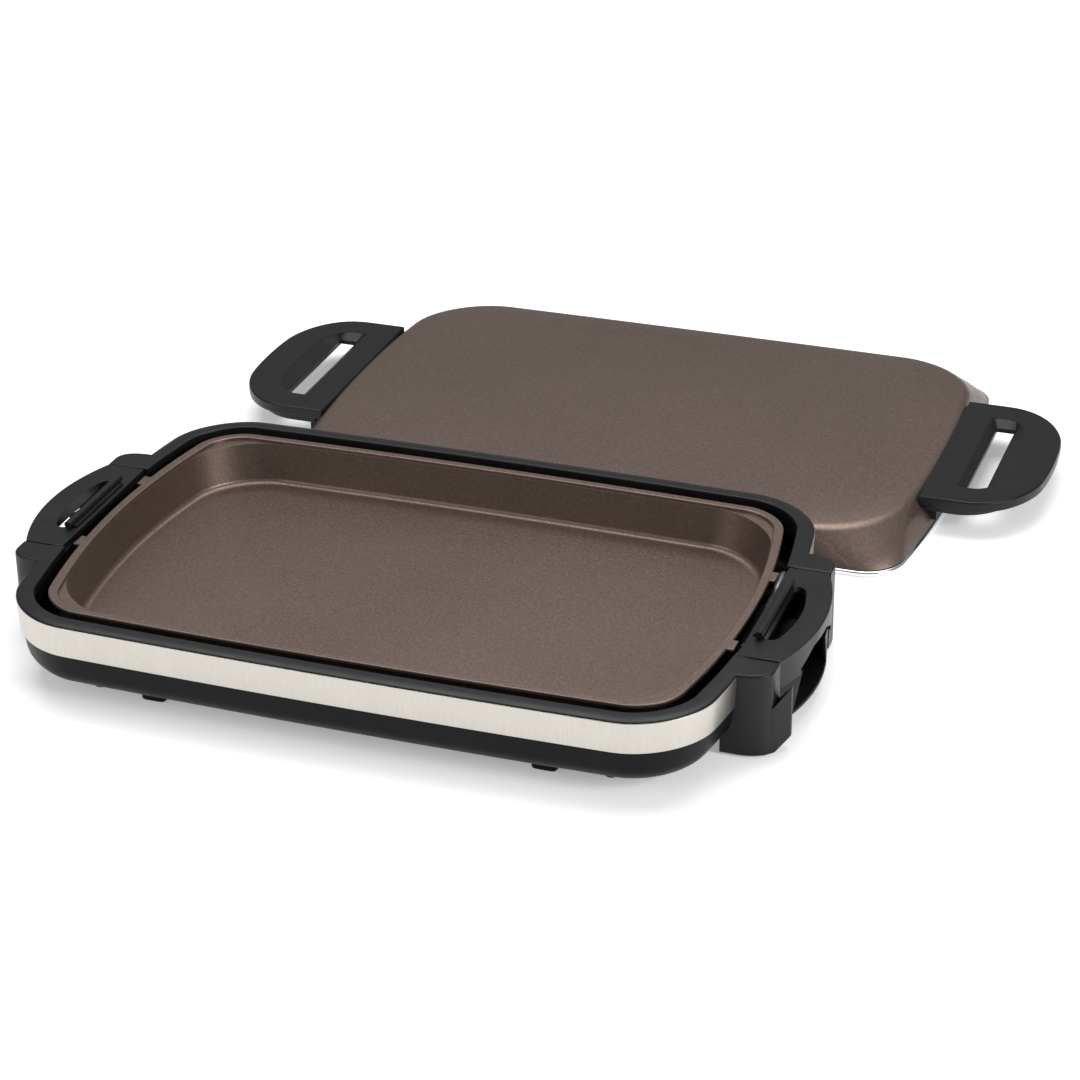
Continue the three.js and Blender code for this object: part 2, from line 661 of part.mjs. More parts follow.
function addLid() {
  addPiece('lid_shell', makeLidShell(), brownCoating, lid);
  addPiece('lid_rim', makeLidRim(), brightSteel, lid);
  const flankTilt = Math.atan2(10.5, 5.6); // the flank rises 10.5 while it leans in 5.6
  const head = [[0, 0], [3.6, 0], [3.6, 1], [2.4, 1.9], [0, 1.9]];
  for (const [name, side] of SIDES) {
    addPiece(`lid_handle_${name}`, mirrored(makeLidHandle(), side, 1), blackPlastic, lid);
    for (const [place, y] of [['front', -LID_SCREW.y], ['rear', LID_SCREW.y]]) {
      const screw = turned(head, 10).rotateY(-Math.PI / 2 - (Math.PI / 2 - flankTilt));
      const mesh = addPiece(`lid_screw_${name}_${place}`, mirrored(screw, side, 1), brightSteel, lid);
      mesh.position.set(side * LID_SCREW.x, y, LID_SCREW.z);
    }
  }
}

addBody();
addHeater();
addPiece('cooking_plate', makePlate(), brownCoating);
addLid();

export default griddle;
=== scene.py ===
"""Looks of the electric griddle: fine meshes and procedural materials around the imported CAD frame.

Lengths in the shape code are millimetres from the middle of the griddle or of the lid, with z from the
table; they become metres in the shared frame when a mesh is made.
"""

import math
from collections import namedtuple

import bmesh
import bpy
from mathutils import Matrix, Vector


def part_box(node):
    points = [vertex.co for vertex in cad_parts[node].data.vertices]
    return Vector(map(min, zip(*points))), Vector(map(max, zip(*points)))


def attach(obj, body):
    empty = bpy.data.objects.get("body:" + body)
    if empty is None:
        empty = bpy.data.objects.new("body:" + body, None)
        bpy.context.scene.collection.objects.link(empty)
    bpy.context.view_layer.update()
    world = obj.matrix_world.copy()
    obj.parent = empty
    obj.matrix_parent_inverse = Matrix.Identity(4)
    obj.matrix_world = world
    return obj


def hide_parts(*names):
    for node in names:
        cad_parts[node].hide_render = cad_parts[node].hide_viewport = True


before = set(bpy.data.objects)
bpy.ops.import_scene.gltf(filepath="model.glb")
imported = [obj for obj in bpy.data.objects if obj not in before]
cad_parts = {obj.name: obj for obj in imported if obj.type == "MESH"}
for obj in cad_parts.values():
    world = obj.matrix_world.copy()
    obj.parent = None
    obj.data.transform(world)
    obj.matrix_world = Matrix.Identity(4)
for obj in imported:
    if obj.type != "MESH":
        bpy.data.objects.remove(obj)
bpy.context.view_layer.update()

MM = 0.001
SHARP = math.radians(32)  # edges sharper than this are shaded as edges


# ---- places taken from the frame ------------------------------------------------------------------

def middle(node):
    low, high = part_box(node)
    return (low + high) / 2 / MM


def level(node, top=True):
    """Height of a node's top or bottom, in millimetres."""
    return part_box(node)[1 if top else 0].z / MM


GRIDDLE = middle("cooking_plate").to_2d()
LID = middle("lid_rim").to_2d()

Outline = namedtuple("Outline", "half_x half_y corner bow_x bow_y")


def outline_of(node, corner, bow_x, bow_y):
    low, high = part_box(node)
    size = (high - low) / MM
    return Outline(size.x / 2, size.y / 2, corner, bow_x, bow_y)


BODY_HALF_Y = (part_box("band_rear")[1].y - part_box("band_front")[0].y) / 2 / MM
BAND_PROUD = 2.2  # how far the band stands out beyond the tub
BODY_HALF_X = GRIDDLE.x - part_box("base_tub")[0].x / MM + BAND_PROUD
BODY = Outline(BODY_HALF_X, BODY_HALF_Y, 47.8, 18.5, 4)
SHIELD = outline_of("heat_shield", 40, 18.5, 4)
LID_EDGE = outline_of("lid_rim", 26, 14, 1.5)
PLATE_HALF_Y = (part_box("cooking_plate")[1].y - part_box("cooking_plate")[0].y) / 2 / MM
PLATE_EXTRA_LENGTH = 89.9  # half length less half width, since the node's own length includes its tabs
PLATE = Outline(PLATE_HALF_Y + PLATE_EXTRA_LENGTH, PLATE_HALF_Y, 28, 18.5, 4)

BEZEL_TOP = level("bezel_frame")
BEZEL_BOTTOM = 46
BEZEL_WIDTH = 12
TUB_TOP = level("base_tub")
TUB_BOTTOM = level("base_tub", top=False)
TUB_WALL = 4.4
BAND_TOP = level("band_front")
BAND_BOTTOM = level("band_front", top=False)
BAND_THICK = 0.9
BAND_LEAN = 1
PLATE_RIM = level("cooking_plate")
PLATE_THICK = 2.6
PLATE_FLOOR = level("cooking_plate", top=False) + PLATE_THICK
BOWL_CORNER = 44
LID_TOP = level("lid_shell")
LID_RIM_TOP = level("lid_rim")
ARM_ROOT = 236
ARM_INNER = 65.8
ARM_OUTER = 91
ARM_REACH = 279
HAND_GAP_Y = -8
HANDLE_CORNER = 278
HANDLE_TIP = (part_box("handle_right")[1].x / MM) - GRIDDLE.x
HANDLE_HALF = 65
HANDLE_THICK = 4.2
GAP = 0.3
CLEAR_ABOVE = 90  # higher than anything on the body
SLOT_INNER = 261
SLOT_OUTER = 269.5
SLOT_HALF = 37
SLOT_BOW = 5
TAB_LOW = 44.4
TAB_HIGH = 57.2


# ---- mesh helpers ---------------------------------------------------------------------------------

def outline(shape, inset=0.0, corner=None, corner_steps=20, long_steps=28, short_steps=20):
    """Points of a rounded rectangle whose sides bow outwards, counter-clockwise, moved in by inset."""
    if corner is None:
        corner = max(shape.corner - inset, 6)
    half_x = shape.half_x - shape.bow_x - inset
    half_y = shape.half_y - shape.bow_y - inset
    flat = []
    for quarter, (sign_x, sign_y) in enumerate(((1, 1), (-1, 1), (-1, -1), (1, -1))):
        for i in range(corner_steps + 1):
            angle = (quarter + i / corner_steps) * math.pi / 2
            x = sign_x * (half_x - corner) + corner * math.cos(angle)
            y = sign_y * (half_y - corner) + corner * math.sin(angle)
            flat.append((x, y))
        x, y = flat[-1]
        along_x = quarter % 2 == 0
        steps = long_steps if along_x else short_steps
        for i in range(1, steps):
            if along_x:
                flat.append((x - 2 * sign_x * (half_x - corner) * i / steps, y))
            else:
                flat.append((x, y - 2 * sign_y * (half_y - corner) * i / steps))
    points = []
    for x, y in flat:
        bowed_x = x * (1 + shape.bow_x / half_x * (1 - (y / half_y) ** 2))
        bowed_y = y * (1 + shape.bow_y / half_y * (1 - (x / half_x) ** 2))
        points.append((bowed_x, bowed_y))
    return points


def rounded(points, closed=False, step=math.radians(14)):
    """Profile with its corners rounded. A point is (inset, height, radius) or also has a plan corner."""
    result = []
    count = len(points)
    for i, (u, z, radius, *plan) in enumerate(points):
        if radius == 0 or (not closed and i in (0, count - 1)):
            result.append((u, z, *plan))
            continue
        here = Vector((u, z))
        back = Vector(points[i - 1][:2]) - here
        ahead = Vector(points[(i + 1) % count][:2]) - here
        angle = back.angle(ahead)
        if angle > math.radians(178):
            result.append((u, z, *plan))
            continue
        reach = min(radius / math.tan(angle / 2), 0.49 * back.length, 0.49 * ahead.length)
        radius = reach * math.tan(angle / 2)
        centre = here + (back.normalized() + ahead.normalized()).normalized() * radius / math.sin(angle / 2)
        start = here + back.normalized() * reach - centre
        end = here + ahead.normalized() * reach - centre
        turn = math.pi - angle
        steps = max(2, math.ceil(turn / step))
        for k in range(steps + 1):
            t = k / steps
            arm = (math.sin((1 - t) * turn) * start + math.sin(t * turn) * end) / math.sin(turn)
            result.append((*(centre + arm), *plan))
    return result


def new_object(name, mesh):
    piece = bpy.data.objects.new(name, mesh)
    bpy.context.scene.collection.objects.link(piece)
    return piece


def tidy(mesh, merge=1e-6):
    """Merge doubles, turn faces outwards, and shade smooth up to the sharp angle."""
    work = bmesh.new()
    work.from_mesh(mesh)
    bmesh.ops.remove_doubles(work, verts=work.verts, dist=merge)
    bmesh.ops.recalc_face_normals(work, faces=work.faces)
    work.to_mesh(mesh)
    work.free()
    mesh.shade_smooth()
    mesh.set_sharp_from_angle(angle=SHARP)
    return mesh


def from_points(name, points, faces, centre=GRIDDLE):
    places = [((x + centre.x) * MM, (y + centre.y) * MM, z * MM) for x, y, z in points]
    mesh = bpy.data.meshes.new(name)
    mesh.from_pydata(places, [], faces)
    return new_object(name, tidy(mesh))


def loft(name, shape, rows, centre=GRIDDLE, closed=False, crown=0.0):
    """Skin through outlines at [inset, height, plan corner]; an open one is capped at both ends."""
    rings = [outline(shape, row[0], row[2] if len(row) > 2 else None) for row in rows]
    count = len(rings[0])
    points = [(x, y, row[1]) for row, ring in zip(rows, rings) for x, y in ring]
    if crown:
        last, height = rings[-1], rows[-1][1]
        for part in (0.8, 0.6, 0.4, 0.2):
            points += [(x * part, y * part, height + crown * (1 - part * part)) for x, y in last]
    total = len(points) // count
    faces = []
    for k in range(total if closed else total - 1):
        low, high = k * count, (k + 1) % total * count
        for i in range(count):
            j = (i + 1) % count
            faces.append((low + i, low + j, high + j, high + i))
    if not closed:
        faces.append(tuple(reversed(range(count))))
        faces.append(tuple(range((total - 1) * count, total * count)))
    return from_points(name, points, faces, centre)


def extruded(name, loops, low, high, soft=0.8, centre=GRIDDLE):
    """Solid over a flat outline with holes, with rounded edges all round."""
    curve = bpy.data.curves.new(name, "CURVE")
    curve.dimensions = "2D"
    curve.fill_mode = "BOTH"
    curve.extrude = ((high - low) / 2 - soft) * MM
    curve.bevel_depth = soft * MM
    curve.bevel_resolution = 3
    curve.offset = -soft * MM
    for loop in loops:
        spline = curve.splines.new("POLY")
        spline.points.add(len(loop) - 1)
        for point, (x, y) in zip(spline.points, loop):
            point.co = ((x + centre.x) * MM, (y + centre.y) * MM, 0, 1)
        spline.use_cyclic_u = True
    holder = new_object(name + "_curve", curve)
    graph = bpy.context.evaluated_depsgraph_get()
    mesh = bpy.data.meshes.new_from_object(holder.evaluated_get(graph))
    mesh.transform(Matrix.Translation((0, 0, (low + high) / 2 * MM)))
    bpy.data.objects.remove(holder)
    mesh.name = name
    return new_object(name, tidy(mesh))


def box_piece(name, x0, x1, y0, y1, z0, z1, soft=0.5, centre=GRIDDLE):
    return extruded(name, [[(x0, y0), (x1, y0), (x1, y1), (x0, y1)]], z0, z1, soft, centre)


def combine(piece, tool, operation):
    """Join or cut piece with tool, and drop the tool."""
    modifier = piece.modifiers.new("combine", "BOOLEAN")
    modifier.object = tool
    modifier.operation = operation
    modifier.solver = "EXACT"
    graph = bpy.context.evaluated_depsgraph_get()
    mesh = bpy.data.meshes.new_from_object(piece.evaluated_get(graph))
    piece.modifiers.remove(modifier)
    piece.data = tidy(mesh, merge=2e-6)
    bpy.data.objects.remove(tool)
    return piece


def mirror_x(piece, name, centre=GRIDDLE):
    """A copy of a right-hand piece, mirrored to the left-hand side."""
    mesh = piece.data.copy()
    about = Matrix.Translation((centre.x * MM, 0, 0))
    mesh.transform(about @ Matrix.Scale(-1, 4, (1, 0, 0)) @ about.inverted())
    mesh.flip_normals()
    return new_object(name, mesh)


def mirror_y(piece, name, centre=GRIDDLE):
    mesh = piece.data.copy()
    about = Matrix.Translation((0, centre.y * MM, 0))
    mesh.transform(about @ Matrix.Scale(-1, 4, (0, 1, 0)) @ about.inverted())
    mesh.flip_normals()
    return new_object(name, mesh)


def moved(old, new):
    """Drop the old piece and keep its mirrored copy."""
    bpy.data.objects.remove(old)
    return new


def weighted(piece):
    """Flat faces keep flat shading beside their rounded edges."""
    modifier = piece.modifiers.new("normals", "WEIGHTED_NORMAL")
    modifier.keep_sharp = True
    modifier.weight = 100
    return piece


def softened(node, width, segments=3):
    """A copy of a CAD node with its coplanar faces merged and its edges rounded."""
    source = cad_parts[node]
    mesh = source.data.copy()
    work = bmesh.new()
    work.from_mesh(mesh)
    bmesh.ops.remove_doubles(work, verts=work.verts, dist=1e-6)
    bmesh.ops.dissolve_limit(work, angle_limit=math.radians(1), verts=work.verts, edges=work.edges)
    bmesh.ops.recalc_face_normals(work, faces=work.faces)
    work.to_mesh(mesh)
    work.free()
    mesh.materials.clear()
    mesh.shade_smooth()
    mesh.set_sharp_from_angle(angle=SHARP)
    piece = new_object(node + "_piece", mesh)
    bevel = piece.modifiers.new("edges", "BEVEL")
    bevel.width = width * MM
    bevel.segments = segments
    bevel.limit_method = "ANGLE"
    bevel.angle_limit = SHARP
    bevel.harden_normals = False
    return weighted(piece)


def turned(name, profile, place, direction=(0, 0, 1), segments=40):
    """Lathe of (radius, height) in mm about direction, standing at place (metres)."""
    points = []
    for radius, height in profile:
        for i in range(segments):
            angle = 2 * math.pi * i / segments
            points.append((radius * math.cos(angle), radius * math.sin(angle), height))
    faces = []
    for k in range(len(profile) - 1):
        for i in range(segments):
            j = (i + 1) % segments
            low, high = k * segments, (k + 1) * segments
            faces.append((low + i, low + j, high + j, high + i))
    faces.append(tuple(reversed(range(segments))))
    faces.append(tuple(range((len(profile) - 1) * segments, len(profile) * segments)))
    mesh = bpy.data.meshes.new(name)
    mesh.from_pydata([Vector(p) * MM for p in points], [], faces)
    turn = Vector((0, 0, 1)).rotation_difference(Vector(direction)).to_matrix().to_4x4()
    mesh.transform(Matrix.Translation(place) @ turn)
    return new_object(name, tidy(mesh))


def add(piece, body, slot, material, *nodes):
    """Dress a piece, ride it on its body and let it stand for CAD nodes."""
    piece.data.materials.clear()
    piece.data.materials.append(material)
    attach(piece, body)
    if nodes:
        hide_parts(*nodes)
    return piece


# ---- materials ------------------------------------------------------------------------------------

class Surface:
    """A Principled material with small helpers for procedural inputs in object space."""

    def __init__(self, name, metallic=0.0, specular=0.5):
        self.material = bpy.data.materials.new(name)
        self.material.use_nodes = True
        self.tree = self.material.node_tree
        self.shader = self.tree.nodes["Principled BSDF"]
        self.shader.inputs["Metallic"].default_value = metallic
        self.shader.inputs["Specular IOR Level"].default_value = specular
        self.place = self.tree.nodes.new("ShaderNodeTexCoord").outputs["Object"]

    def node(self, kind, **values):
        made = self.tree.nodes.new(kind)
        for key, value in values.items():
            setattr(made, key, value)
        return made

    def link(self, source, target):
        self.tree.links.new(source, target)

    def noise(self, scale, detail=3.0, roughness=0.55, stretch=None):
        """Noise with so many cells a metre; stretch scales each axis on its own."""
        made = self.node("ShaderNodeTexNoise")
        made.inputs["Scale"].default_value = scale
        made.inputs["Detail"].default_value = detail
        made.inputs["Roughness"].default_value = roughness
        source = self.place
        if stretch:
            mapping = self.node("ShaderNodeMapping")
            mapping.inputs["Scale"].default_value = stretch
            self.link(self.place, mapping.inputs["Vector"])
            source = mapping.outputs["Vector"]
        self.link(source, made.inputs["Vector"])
        return made.outputs["Fac"]

    def cells(self, scale):
        made = self.node("ShaderNodeTexVoronoi")
        made.inputs["Scale"].default_value = scale
        self.link(self.place, made.inputs["Vector"])
        return made.outputs["Color"]

    def ranged(self, value, low, high, source_low=0.3, source_high=0.7):
        made = self.node("ShaderNodeMapRange")
        made.inputs["From Min"].default_value = source_low
        made.inputs["From Max"].default_value = source_high
        made.inputs["To Min"].default_value = low
        made.inputs["To Max"].default_value = high
        self.link(value, made.inputs["Value"])
        return made.outputs["Result"]

    def ramp(self, value, stops):
        made = self.node("ShaderNodeValToRGB")
        ramp = made.color_ramp
        while len(ramp.elements) < len(stops):
            ramp.elements.new(0.5)
        for element, (position, colour) in zip(ramp.elements, stops):
            element.position = position
            element.color = (*colour, 1)
        self.link(value, made.inputs["Fac"])
        return made.outputs["Color"]

    def mix(self, factor, first, second, blend="MIX"):
        made = self.node("ShaderNodeMix", data_type="RGBA", blend_type=blend)
        for value, socket in ((factor, made.inputs[0]), (first, made.inputs[6]), (second, made.inputs[7])):
            if isinstance(value, (int, float)):
                socket.default_value = value
            elif isinstance(value, tuple):
                socket.default_value = (*value, 1)
            else:
                self.link(value, socket)
        return made.outputs[2]

    def colour(self, value):
        self.link(value, self.shader.inputs["Base Color"])

    def roughness(self, value):
        self.link(value, self.shader.inputs["Roughness"])

    def bump(self, *layers):
        """Layers of (height, strength, depth in mm), one on the other."""
        normal = None
        for height, strength, depth in layers:
            made = self.node("ShaderNodeBump")
            made.inputs["Strength"].default_value = strength
            made.inputs["Distance"].default_value = depth * MM
            self.link(height, made.inputs["Height"])
            if normal:
                self.link(normal, made.inputs["Normal"])
            normal = made.outputs["Normal"]
        self.link(normal, self.shader.inputs["Normal"])


def shade(colour, factor):
    return tuple(min(1.0, c * factor) for c in colour)


def moulded_plastic(name, colour, rough, specular=0.5):
    """Spark-textured satin plastic: fine grain, faint mottling and slightly uneven gloss."""
    made = Surface(name, specular=specular)
    grain = made.noise(1500, detail=2)
    mottle = made.noise(26, detail=4)
    made.colour(made.ramp(mottle, [(0.3, shade(colour, 0.88)), (0.7, shade(colour, 1.14))]))
    made.roughness(made.ranged(made.noise(60, detail=5), rough - 0.05, rough + 0.06))
    made.bump((grain, 0.3, 0.05), (mottle, 0.1, 0.3))
    return made.material


def coated_metal(name, colour, rough, sparkle=1.0):
    """Metallic non-stick coating: flakes that catch the light, over a faint orange-peel surface."""
    made = Surface(name, metallic=0.8, specular=0.4)
    tone = made.ramp(made.noise(7, detail=3), [(0.3, shade(colour, 0.93)), (0.7, shade(colour, 1.07))])
    fine = made.noise(1250, detail=2, roughness=0.7)
    flakes = made.ranged(fine, 0, sparkle, 0.56, 0.74)
    speckled = made.mix(flakes, tone, shade(colour, 2.1))
    pits = made.ranged(made.noise(900, detail=1), 0, 0.55, 0.62, 0.72)
    made.colour(made.mix(pits, speckled, shade(colour, 0.6)))
    made.roughness(made.ranged(made.noise(420, detail=3), rough - 0.06, rough + 0.06))
    made.bump((made.noise(330, detail=3), 0.16, 0.08), (fine, 0.2, 0.03))
    return made.material


def brushed_band(name, colour):
    """Stainless strip brushed across its width, so the scratches run up and down."""
    made = Surface(name, metallic=1.0)
    fine = made.noise(1, detail=5, roughness=0.75, stretch=(1900, 1900, 14))
    broad = made.noise(1, detail=3, stretch=(45, 45, 2))
    tone = made.ramp(fine, [(0.28, shade(colour, 0.84)), (0.72, shade(colour, 1.1))])
    made.colour(made.mix(made.ranged(broad, 0, 0.5), tone, shade(colour, 0.9)))
    made.roughness(made.ranged(fine, 0.24, 0.4))
    made.bump((fine, 0.22, 0.03))
    return made.material


def polished_metal(name, colour, rough):
    made = Surface(name, metallic=1.0)
    haze = made.noise(90, detail=5)
    made.colour(made.ramp(haze, [(0.3, shade(colour, 0.93)), (0.7, shade(colour, 1.05))]))
    made.roughness(made.ranged(made.noise(700, detail=3), rough * 0.7, rough * 1.35))
    made.bump((made.noise(1100, detail=2), 0.08, 0.02))
    return made.material


def spangled_sheet(name, colour):
    """Aluminised sheet with a faint crystal pattern."""
    made = Surface(name, metallic=1.0)
    crystal = made.cells(160)
    made.colour(made.mix(0.12, colour, crystal, "SOFT_LIGHT"))
    made.roughness(made.ranged(made.noise(240, detail=4), 0.28, 0.44))
    made.bump((made.noise(500, detail=3), 0.15, 0.05))
    return made.material


def heated_tube(name, colour):
    """Sheathed element: grey oxide with straw and blue patches from heat."""
    made = Surface(name, metallic=0.9)
    patch = made.noise(22, detail=4)
    straw = (colour[0] * 1.1, colour[1] * 0.98, colour[2] * 0.8)
    blue = (colour[0] * 0.72, colour[1] * 0.78, colour[2] * 0.9)
    made.colour(made.ramp(patch, [(0.32, blue), (0.5, colour), (0.68, straw)]))
    made.roughness(made.ranged(made.noise(300, detail=4), 0.3, 0.5))
    made.bump((made.noise(800, detail=3), 0.2, 0.03))
    return made.material


def soft_rubber(name, colour):
    made = Surface(name, specular=0.3)
    dust = made.noise(180, detail=5)
    made.colour(made.ramp(dust, [(0.35, colour), (0.75, shade(colour, 2.2))]))
    made.roughness(made.ranged(dust, 0.7, 0.9))
    made.bump((made.noise(1200, detail=3), 0.3, 0.05))
    return made.material


BLACK = moulded_plastic("charcoal_plastic", (0.0075, 0.0078, 0.0083), 0.38, 0.26)
DARK = moulded_plastic("dark_plastic", (0.0035, 0.0035, 0.0038), 0.40, 0.14)
GRIP = moulded_plastic("grip_plastic", (0.006, 0.0062, 0.0066), 0.36, 0.26)
BROWN = coated_metal("brown_coating", (0.160, 0.116, 0.098), 0.40)
STEEL = brushed_band("band_steel", (0.56, 0.535, 0.485))
RIM_STEEL = polished_metal("rim_steel", (0.84, 0.85, 0.86), 0.16)
ZINC = polished_metal("zinc_steel", (0.60, 0.61, 0.62), 0.3)
SHEET = spangled_sheet("aluminised_sheet", (0.72, 0.73, 0.74))
SHEATH = heated_tube("element_sheath", (0.36, 0.355, 0.35))
RUBBER = soft_rubber("foot_rubber", (0.012, 0.012, 0.012))
BRASS = polished_metal("pin_brass", (0.72, 0.56, 0.27), 0.22)


# ---- body -----------------------------------------------------------------------------------------

TUB_OUTSIDE = [
    (40, TUB_BOTTOM, 0),
    (13, TUB_BOTTOM, 12),
    (5, TUB_BOTTOM + 9, 16),
    (BAND_PROUD, BAND_BOTTOM - 0.4, 0.5),
    (TUB_WALL, BAND_BOTTOM - 0.4, 0.2),
    (TUB_WALL, TUB_TOP, 0.5),
]


def make_tub():
    inside = [(7, TUB_TOP, 0.5), (7.2, 28, 8), (11, 18.4, 8), (22, 16.4, 6), (40, 16.4, 0)]
    tub = loft("tub", BODY, rounded(TUB_OUTSIDE + inside))
    low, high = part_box("plug_port_sleeve")
    half = 24 + GAP
    window = box_piece("window", 236, 270, -half, half, low.z / MM - GAP, high.z / MM + GAP, soft=0.2)
    add(combine(tub, window, "DIFFERENCE"), "body", "lower_plastic", DARK, "base_tub")


def cubic(start, first, second, end, steps):
    """Points of a Bezier curve after its start, as far as its end."""
    points = []
    for i in range(1, steps + 1):
        t = i / steps
        weights = ((1 - t) ** 3, 3 * t * (1 - t) ** 2, 3 * t * t * (1 - t), t ** 3)
        shares = [(w * p[0], w * p[1]) for w, p in zip(weights, (start, first, second, end))]
        points.append(tuple(sum(values) for values in zip(*shares)))
    return points


def arm_loop():
    """Plan of the rear right arm: its outer face curves round to the band."""
    start = (257, ARM_OUTER)
    end = (ARM_REACH, ARM_OUTER - 15)
    curve = cubic(start, (ARM_REACH - 6, ARM_OUTER - 0.5), (ARM_REACH, ARM_OUTER - 7), end, 18)
    loop = [(ARM_ROOT, ARM_INNER), (ARM_ROOT, ARM_OUTER), start, *curve, (ARM_REACH, ARM_INNER)]
    return loop[::-1]


def make_arm_block(low):
    """Block that widens the lower part of the front right arm; its top slopes up outwards."""
    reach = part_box("bezel_frame")[1].x / MM - GRIDDLE.x
    corner = (reach - 6.5, -78.2)
    loop = [
        (ARM_REACH - 8, -ARM_INNER),
        (ARM_REACH - 5, 4.7 - ARM_OUTER),
        corner,
        (reach, -68.5),
        (reach, -ARM_INNER),
    ]
    block = extruded("arm_block", [loop], low, BEZEL_TOP, soft=0.9)
    side = [(270, 35.5), (ARM_REACH, 35.5), (reach + 1, 47), (reach + 1, CLEAR_ABOVE), (270, CLEAR_ABOVE)]
    return combine(block, prism_along_y("above", side), "DIFFERENCE")


def prism(name, near, far):
    """Solid between two outlines that have the same number of points."""
    count = len(near)
    faces = [tuple(range(count)), tuple(reversed(range(count, 2 * count)))]
    for i in range(count):
        j = (i + 1) % count
        faces.append((i, i + count, j + count, j))
    return from_points(name, near + far, faces)


def prism_along_y(name, side):
    """Solid with one outline in x and z, longer than the distance between the arms' outer faces."""
    reach = 110
    return prism(name, [(x, -reach, z) for x, z in side], [(x, reach, z) for x, z in side])


def sheared_bottom(piece):
    """Cut the lower outer edge of the right-hand arms away with a slope."""
    slope = [(274, -5), (300, -5), (300, 21), (274, -4.9)]
    return combine(piece, prism_along_y("slope", slope), "DIFFERENCE")


def make_arm(has_block=False):
    """The rear right arm, or with the block the front right one, hollowed to sit round the tub."""
    low = level("bezel_frame", top=False)
    arm = extruded("arm", [arm_loop()], low, BEZEL_TOP, soft=2)
    if has_block:
        arm = moved(arm, mirror_y(arm, "arm_front_right"))
        combine(arm, make_arm_block(low), "UNION")
    sheared_bottom(arm)
    room = [(u - GAP, z, r) for u, z, r in TUB_OUTSIDE]
    room[0] = (40, TUB_BOTTOM - GAP, 0)
    room[1] = (room[1][0], TUB_BOTTOM - GAP, room[1][2])
    room[-1] = (room[-1][0], TUB_TOP + GAP, 0.5)
    combine(arm, loft("room", BODY, rounded(room + [(40, TUB_TOP + GAP, 0)])), "DIFFERENCE")
    combine(arm, loft("well", BODY, [(BEZEL_WIDTH - 1.5, -5), (BEZEL_WIDTH - 1.5, 80)]), "DIFFERENCE")
    return arm


def make_bezel_frame():
    """Ring that rolls over the top of the band, and the four arms."""
    inner = BEZEL_WIDTH - 2.4
    backing = BAND_THICK + 0.5
    roll = 7.5  # width of the rounded outer part
    low = 60.5
    steps = 8
    rows = []
    for i in range(steps + 1):
        angle = i / steps * math.pi / 2
        inset = 0.3 + roll * (1 - math.cos(angle))
        rows.append((inset, low + (BEZEL_TOP - low) * math.sin(angle), 0))
    profile = rows + [
        (BEZEL_WIDTH, BEZEL_TOP, 1.2),
        (BEZEL_WIDTH, BEZEL_BOTTOM, 0.5),
        (inner, BEZEL_BOTTOM, 0.5),
        (inner, TUB_TOP + GAP, 0.3),
        (backing, TUB_TOP + GAP, 0.2),
        (backing, low, 0.1),
    ]
    ring = loft("bezel", BODY, rounded(profile, closed=True), closed=True)
    for side in (-1, 1):
        x0, x1 = sorted((side * 225, side * 320))
        notch = box_piece("notch", x0, x1, -ARM_INNER, ARM_INNER, TUB_TOP, CLEAR_ABOVE, soft=0.1)
        combine(ring, notch, "DIFFERENCE")
    rear_right = make_arm()
    rear_left = mirror_x(rear_right, "arm_rear_left")
    front_left = mirror_y(rear_left, "arm_front_left")
    arms = [rear_right, rear_left, front_left, make_arm(has_block=True)]
    for arm in arms:
        combine(ring, arm, "UNION")
    add(weighted(ring), "body", "body_plastic", BLACK, "bezel_frame")


def make_band(end, node):
    """Strip round the front or the rear, cut off square beside the arms."""
    profile = rounded(
        [
            (BAND_LEAN, BAND_BOTTOM, 0.3),
            (0, BAND_TOP, 0.3),
            (BAND_THICK, BAND_TOP, 0.2),
            (BAND_LEAN + BAND_THICK, BAND_BOTTOM, 0.2),
        ],
        closed=True,
    )
    strip = loft(node + "_piece", BODY, profile, closed=True)
    y0, y1 = sorted((-end * 300, end * (ARM_OUTER + GAP)))
    combine(strip, box_piece("rest_of_band", -300, 300, y0, y1, 0, CLEAR_ABOVE, soft=0.05), "DIFFERENCE")
    add(strip, "body", "steel_band", STEEL, node)


def arched_loop(inner, trim=0.0, steps=40):
    """D outline between two arms: straight inner edge, square ends and an arched outer edge."""
    rise = HANDLE_TIP - HANDLE_CORNER
    radius = (HANDLE_HALF ** 2 + rise ** 2) / (2 * rise)
    half = HANDLE_HALF - trim
    reach = math.asin(half / (radius - trim))
    loop = [(inner, -half)]
    for i in range(steps + 1):
        angle = -reach + 2 * reach * i / steps
        x = HANDLE_TIP - radius + (radius - trim) * math.cos(angle)
        loop.append((x, (radius - trim) * math.sin(angle)))
    loop.append((inner, half))
    return loop


def slot_loop(bow, grow=0.0):
    """Finger slot: straight along the rail, with its outer edge bowed outwards by bow."""
    inner, outer, half = SLOT_INNER - grow, SLOT_OUTER + grow, SLOT_HALF + grow
    start = (inner, -half)
    near = (outer - 1, 3 - half)
    far = (near[0], -near[1])
    loop = [(inner, half), start]
    loop += cubic(start, (inner + 2.7, -half - 2.7), (outer - 3, -half - 1), near, 8)
    peak = outer - 1 + (2 * bow + 1) * 2 / 3
    loop += cubic(near, (peak, near[1] / 3), (peak, far[1] / 3), far, 22)
    loop += cubic(far, (outer - 3, half + 1), (inner + 2.7, half + 2.7), (inner, half), 8)[:-1]
    return loop


def hand_gap():
    """Block with sloping ends that opens the hand gap in a skirt."""
    side = [(-36, 20), (36, 20), (32.5, 45), (14, 53.5), (-14, 53.5), (-32.5, 45)]
    near, far = ([(x, y + HAND_GAP_Y, z) for y, z in side] for x in (256, 320))
    return prism("gap", near, far)


